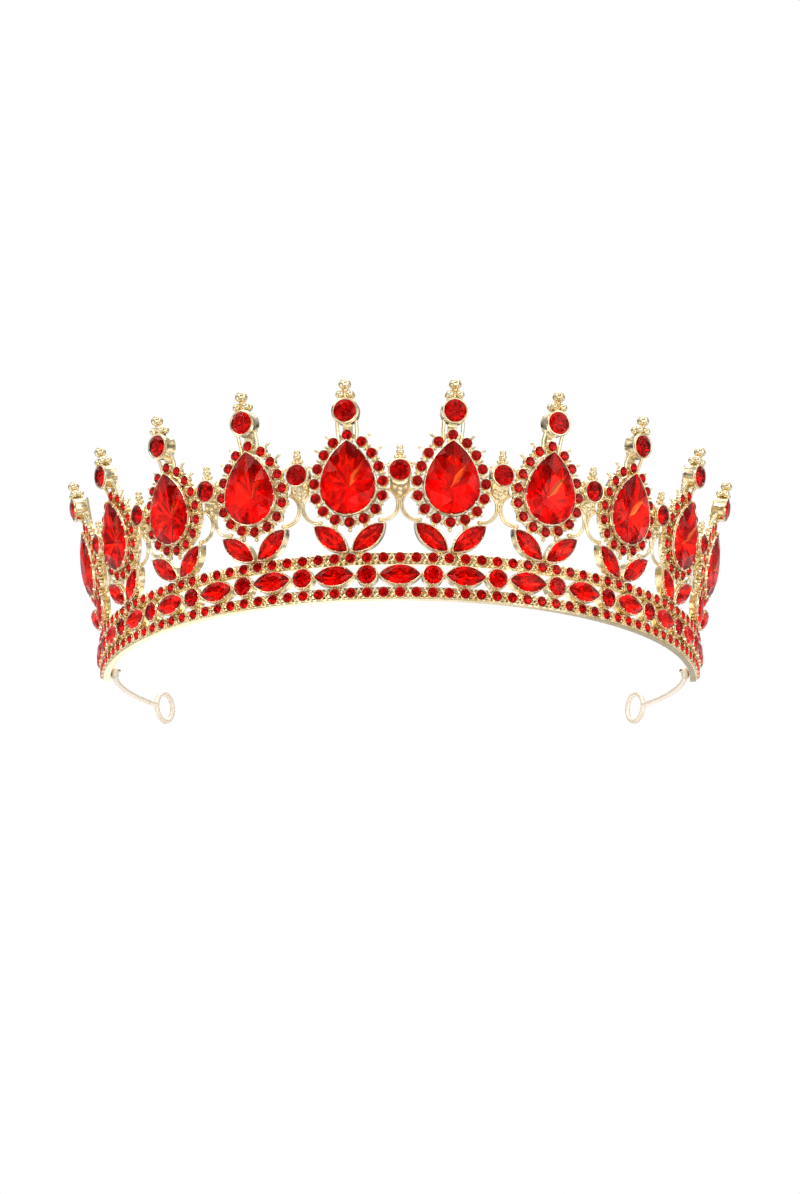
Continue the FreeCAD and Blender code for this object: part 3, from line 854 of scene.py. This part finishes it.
def arm_rivet():
    bottom = ARM_HEIGHT - ARM_WIRE / 2
    top = ARM_HEIGHT + ARM_WIRE / 2 + LUG_THICKNESS
    radius, height = RIVET_HEAD
    profile = []
    for i in range(7):
        turn = math.radians(90 * i / 6)
        profile.append((radius * math.sin(turn), bottom - height * math.cos(turn)))
    upper = [(r, top + bottom - w) for r, w in profile[::-1]]
    return at_rivet(turned(profile + [(RIVET_SHANK, bottom), (RIVET_SHANK, top)] + upper, count=24))


def ribbon_loop():
    """A ring of wire that stands upright along the crown's tangent."""
    wire_loop = tube(circle(0, 0, 0, LOOP_RADIUS, 56), ARM_WIRE / 2, 18, closed=True)
    return wire_loop.placed(slanted(LOOP_AT, 0, ARM_RADIUS, LOOP_HEIGHT))


# ---- materials ----
def material(name):
    made = bpy.data.materials.new(name)
    made.use_nodes = True
    tree = made.node_tree
    return made, tree, tree.nodes["Principled BSDF"]


def node(tree, kind, **values):
    made = tree.nodes.new(kind)
    for key, value in values.items():
        if key in made.inputs:
            made.inputs[key].default_value = value
        else:
            setattr(made, key, value)
    return made


def noise(tree, place, scale, detail):
    """A noise pattern over a place, with about scale cells to each unit of it."""
    made = node(tree, "ShaderNodeTexNoise", Scale=scale, Detail=detail)
    tree.links.new(place, made.inputs["Vector"])
    return made.outputs["Fac"]


def spread(tree, value, start, end):
    """A value mapped from the range start onto the range end."""
    made = node(tree, "ShaderNodeMapRange")
    for name, limit in zip(("From Min", "From Max", "To Min", "To Max"), (*start, *end)):
        made.inputs[name].default_value = limit
    tree.links.new(value, made.inputs["Value"])
    return made.outputs["Result"]


def ramp(tree, value, stops):
    """A colour that changes with a value, by stops of position and colour."""
    made = node(tree, "ShaderNodeValToRGB")
    elements = made.color_ramp.elements
    while len(elements) < len(stops):
        elements.new(0.5)
    for element, (position, colour) in zip(elements, stops):
        element.position = position
        element.color = (*colour, 1)
    tree.links.new(value, made.inputs["Fac"])
    return made.outputs["Color"]


UNIT = (0.0, 1.0)
CLOUDS = (260.0, 3.0)
CLOUD_STOPS = (0.35, 0.62)
SMUDGES = (900.0, 4.0)
BUMP_DISTANCE = 0.00012


def metal(name, pale, deep, roughness, grain, depth, metallic):
    """Plating: colour and polish that drift a little, over a fine texture of the given grain."""
    made, tree, shader = material(name)
    link = tree.links.new
    place = node(tree, "ShaderNodeTexCoord").outputs["Object"]
    tones = list(zip(CLOUD_STOPS, (deep, pale)))
    link(ramp(tree, noise(tree, place, *CLOUDS), tones), shader.inputs["Base Color"])
    polish = spread(tree, noise(tree, place, *SMUDGES), UNIT, roughness)
    link(polish, shader.inputs["Roughness"])
    bump = node(tree, "ShaderNodeBump", Strength=depth, Distance=BUMP_DISTANCE)
    link(noise(tree, place, grain, 2.0), bump.inputs["Height"])
    link(bump.outputs["Normal"], shader.inputs["Normal"])
    shader.inputs["Metallic"].default_value = metallic
    return made


GLASS_WEAR = (700.0, 3.0)
WORN_ABOVE = (0.5, 0.8)
GLASS_ROUGHNESS = (0.0, 0.06)
GLASS_IOR = 1.5
GLASS_TINT = (1.0, 0.2, 0.17, 1)


def glass(name, colour):
    """Clear coloured glass, worn in patches. Its reflections are tinted red."""
    made, tree, shader = material(name)
    place = node(tree, "ShaderNodeTexCoord").outputs["Object"]
    polish = spread(tree, noise(tree, place, *GLASS_WEAR), WORN_ABOVE, GLASS_ROUGHNESS)
    tree.links.new(polish, shader.inputs["Roughness"])
    shader.inputs["Base Color"].default_value = (*colour, 1)
    shader.inputs["Transmission Weight"].default_value = 1.0
    shader.inputs["IOR"].default_value = GLASS_IOR
    shader.inputs["Specular Tint"].default_value = GLASS_TINT
    return made


FOIL_CELLS = (420.0, 1.0)
FOIL_STOPS = (0.4, 0.6)
FOIL_ROUGHNESS = 0.12


def foil(name, bright, deep, metallic):
    """The coating on a stone's back, seen through its glass. Less metallic scatters more light."""
    made, tree, shader = material(name)
    place = node(tree, "ShaderNodeTexCoord").outputs["Object"]
    tones = list(zip(FOIL_STOPS, (deep, bright)))
    tree.links.new(ramp(tree, noise(tree, place, *FOIL_CELLS), tones), shader.inputs["Base Color"])
    shader.inputs["Metallic"].default_value = metallic
    shader.inputs["Roughness"].default_value = FOIL_ROUGHNESS
    return made


CAST_GOLD = metal(
    "cast_gold",
    pale=(0.95, 0.82, 0.56),
    deep=(0.86, 0.68, 0.38),
    roughness=(0.06, 0.2),
    grain=1600.0,
    depth=0.35,
    metallic=1.0,
)
WIRE_GOLD = metal(
    "wire_gold",
    pale=(0.95, 0.85, 0.71),
    deep=(0.91, 0.79, 0.64),
    roughness=(0.35, 0.45),
    grain=700.0,
    depth=0.04,
    metallic=0.5,
)
RED_GLASS = glass("red_glass", (0.99, 0.16, 0.06))
DEEP_GLASS = glass("deep_red_glass", (0.90, 0.07, 0.07))
RED_FOIL = foil("red_foil", (1.0, 0.05, 0.03), (0.86, 0.02, 0.015), 0.87)
DEEP_FOIL = foil("deep_red_foil", (0.85, 0.05, 0.05), (0.6, 0.02, 0.03), 1.0)
# A painted glint: pale yellow foil behind a few back facets, so that they shine orange through the red
# glass.
PAINTED_GLINT_FOIL = foil("painted_glint_foil", (1.0, 0.95, 0.5), (1.0, 0.6, 0.2), 0.8)
CREASE = math.radians(38)


# ---- pieces ----
def piece(name, shape, materials, crease=0.0):
    """A visible piece that stands for the CAD node of that name."""
    made = bpy.data.objects.new(name + "_visual", shape.mesh(name + "_visual", materials, crease))
    bpy.context.scene.collection.objects.link(made)
    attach(made, "root")
    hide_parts(name)


def casting(name, shape):
    piece(name, shape, [CAST_GOLD], CREASE)


def wire(name, shape):
    piece(name, shape, [WIRE_GOLD], CREASE)


def red_stones(name, shape):
    # The third material is the pale foil that paints a glint on the chosen facets.
    piece(name, shape, [RED_GLASS, RED_FOIL, PAINTED_GLINT_FOIL])


def deep_stones(name, shape):
    piece(name, shape, [DEEP_GLASS, DEEP_FOIL])


def build_band():
    casting("band_lower_rail", lower_rail())
    casting("band_upper_rail", upper_rail())
    casting("band_centre_settings", centre_settings())
    small = brilliant(round_outline, *SMALL, ROUND_MAINS)
    disc = moved(brilliant(round_outline, *ROUND, ROUND_MAINS), 0, MIDDLE_ROW)
    marquise = moved(brilliant(marquise_outline, *BAND_MARQUISE, *BAND_MARQUISE_CUT), 0, MIDDLE_ROW)
    for name, row in (("lower_rail_stones", LOWER_ROW), ("upper_rail_stones", UPPER_ROW)):
        deep_stones(name, round_the_ring(moved(small, 0, row), RAIL_STONES, band_matrix))
    deep_stones("band_round_stones", round_the_ring(disc, ROUNDS, band_matrix))
    red_stones("band_marquise_stones", round_the_ring(marquise, MARQUISES, band_matrix))


def build_crest():
    peak = peak_casting()
    link = link_casting()
    pear = at_pear(brilliant(pear_outline, *PEAR, *PEAR_CUT))
    small = brilliant(round_outline, *SMALL, ROUND_MAINS)
    halo = Shape()
    for at in halo_places():
        halo.include(moved(small, at.x, at.y))
    for number, azimuth in enumerate(PEAK_PLACES, 1):
        casting(f"peak_casting_{number:02d}", round_the_ring(peak, [azimuth], crest_matrix))
        deep_stones(f"halo_stones_{number:02d}", round_the_ring(halo, [azimuth], crest_matrix))
        red_stones(f"pear_stone_{number:02d}", round_the_ring(pear, [azimuth], crest_matrix))
    for number, azimuth in enumerate(LINK_PLACES, 1):
        casting(f"link_casting_{number:02d}", round_the_ring(link, [azimuth], crest_matrix))
    crown = moved(brilliant(round_outline, *CROWN, ROUND_MAINS), 0, CROWN_CENTRE)
    disc = moved(brilliant(round_outline, *LINK, ROUND_MAINS), 0, LINK_CENTRE)
    leaf = brilliant(marquise_outline, *LEAF, *LEAF_CUT)
    pair = Shape()
    for side in (-1, 1):
        pair.include(at_leaf(leaf, side))
    deep_stones("crown_stones", round_the_ring(crown, PEAK_PLACES, crest_matrix))
    deep_stones("link_stones", round_the_ring(disc, LINK_PLACES, crest_matrix))
    red_stones("leaf_stones", round_the_ring(pair, PEAK_PLACES, crest_matrix))


def build_ends():
    ends = {"end_arm": end_arm(), "ribbon_loop": ribbon_loop(), "arm_rivet": arm_rivet()}
    for kind, shape in ends.items():
        wire(kind + "_right", shape)
        wire(kind + "_left", mirrored(shape))


# ---- studio, in metres ----
FLOOR_HALF = 2.5
FLOOR_GAP = 0.00005
FLOOR_GREY = (0.9, 0.9, 0.9, 1)
FLOOR_ROUGHNESS = 0.7


def build_floor():
    """A pale floor just under the tiara. It is clear from below, where the camera stands."""
    mesh = bpy.data.meshes.new("floor")
    signs = ((-1, -1), (1, -1), (1, 1), (-1, 1))
    corners = [Vector((x * FLOOR_HALF, y * FLOOR_HALF, -FLOOR_GAP)) for x, y in signs]
    mesh.from_pydata(corners, [], [[0, 1, 2, 3]])
    floor = bpy.data.objects.new("floor", mesh)
    bpy.context.scene.collection.objects.link(floor)
    made, tree, shader = material("floor")
    link = tree.links.new
    shader.inputs["Base Color"].default_value = FLOOR_GREY
    shader.inputs["Roughness"].default_value = FLOOR_ROUGHNESS
    geometry = node(tree, "ShaderNodeNewGeometry")
    clear = node(tree, "ShaderNodeBsdfTransparent")
    either = node(tree, "ShaderNodeMixShader")
    link(geometry.outputs["Backfacing"], either.inputs["Fac"])
    link(shader.outputs["BSDF"], either.inputs[1])
    link(clear.outputs["BSDF"], either.inputs[2])
    link(either.outputs["Shader"], tree.nodes["Material Output"].inputs["Surface"])
    mesh.materials.append(made)
    floor.visible_glossy = False
    floor.visible_transmission = False
    floor.visible_shadow = False


# Shades of grey by height, from straight down at 0 to straight up at 1.
METAL_SKY = (
    (0, 0.8),
    (0.2, 1.0),
    (0.34, 1.15),
    (0.5, 0.9),
    (0.57, 0.12),
    (0.64, 0.3),
    (0.78, 1.3),
    (1, 0.9),
)
STONE_SKY = (
    (0, 0.7),
    (0.15, 1.2),
    (0.3, 0.5),
    (0.4, 1.4),
    (0.5, 1.3),
    (0.6, 1.0),
    (0.75, 1.5),
    (1, 1.3),
)
SKY_PATCHES = (2.6, 0.0)
PATCH_EDGES = (0.4, 0.55)
PATCH_STRENGTH = (0.4, 1.2)


def sky(tree, height, strength, shades):
    """A background graded by height, patchy in strength."""
    background = node(tree, "ShaderNodeBackground")
    greys = [(position, (shade, shade, shade)) for position, shade in shades]
    tree.links.new(ramp(tree, height, greys), background.inputs["Color"])
    tree.links.new(strength, background.inputs["Strength"])
    return background.outputs["Background"]


def build_world():
    """White to the camera. Light inside the stones sees one graded sky, and all other rays another."""
    world = bpy.data.worlds.new("studio")
    bpy.context.scene.world = world
    world.use_nodes = True
    tree = world.node_tree
    link = tree.links.new
    white = tree.nodes["Background"]
    white.inputs["Color"].default_value = (1, 1, 1, 1)
    direction = node(tree, "ShaderNodeTexCoord").outputs["Generated"]
    parts = node(tree, "ShaderNodeSeparateXYZ")
    link(direction, parts.inputs["Vector"])
    height = spread(tree, parts.outputs["Z"], (-1.0, 1.0), UNIT)
    strength = spread(tree, noise(tree, direction, *SKY_PATCHES), PATCH_EDGES, PATCH_STRENGTH)
    rays = node(tree, "ShaderNodeLightPath")
    views = (
        ("Is Transmission Ray", sky(tree, height, strength, STONE_SKY)),
        ("Is Camera Ray", white.outputs["Background"]),
    )
    seen = sky(tree, height, strength, METAL_SKY)
    for kind, background in views:
        either = node(tree, "ShaderNodeMixShader")
        link(rays.outputs[kind], either.inputs["Fac"])
        link(seen, either.inputs[1])
        link(background, either.inputs[2])
        seen = either.outputs["Shader"]
    link(seen, tree.nodes["World Output"].inputs["Surface"])


# Name, place, size and radiance of each soft box.
LIGHTS = (
    ("key_box", (-0.55, -0.75, 0.55), (0.5, 0.5), 3.0),
    ("fill_box", (0.75, -0.6, 0.2), (0.35, 0.6), 2.0),
    ("front_box", (0.0, -0.95, -0.4), (0.6, 0.25), 1.6),
    ("top_box", (0.1, 0.2, 0.9), (0.7, 0.7), 2.4),
)
LIGHTS_AIM = Vector((0, -0.04, 0.03))


def build_light(name, place, size, radiance):
    """A soft box that faces the tiara and isn't seen by the camera."""
    light = bpy.data.lights.new(name, "AREA")
    light.shape = "RECTANGLE"
    light.size, light.size_y = size
    light.energy = radiance * math.pi * size[0] * size[1]
    made = bpy.data.objects.new(name, light)
    bpy.context.scene.collection.objects.link(made)
    made.location = place
    aim = LIGHTS_AIM - Vector(place)
    made.rotation_euler = aim.to_track_quat("-Z", "Y").to_euler()
    made.visible_camera = False


CAMERA_PLACE = (0, -0.4770, -0.1330)
CAMERA_PITCH = math.radians(90 + 18.45)
CAMERA_LENS = 56.49
CAMERA_SENSOR = 36.0


def build_camera():
    """The photo's viewpoint, in front of the tiara and looking up at it by 18.45 degrees."""
    camera = bpy.data.cameras.new("camera")
    made = bpy.data.objects.new("camera", camera)
    bpy.context.scene.collection.objects.link(made)
    camera.sensor_width = CAMERA_SENSOR
    camera.lens = CAMERA_LENS
    camera.clip_start = 0.01
    made.location = CAMERA_PLACE
    made.rotation_euler = (CAMERA_PITCH, 0, 0)
    bpy.context.scene.camera = made


build_band()
build_crest()
build_ends()
build_floor()
build_world()
for light in LIGHTS:
    build_light(*light)
build_camera()
bpy.context.scene.view_settings.view_transform = "Standard"
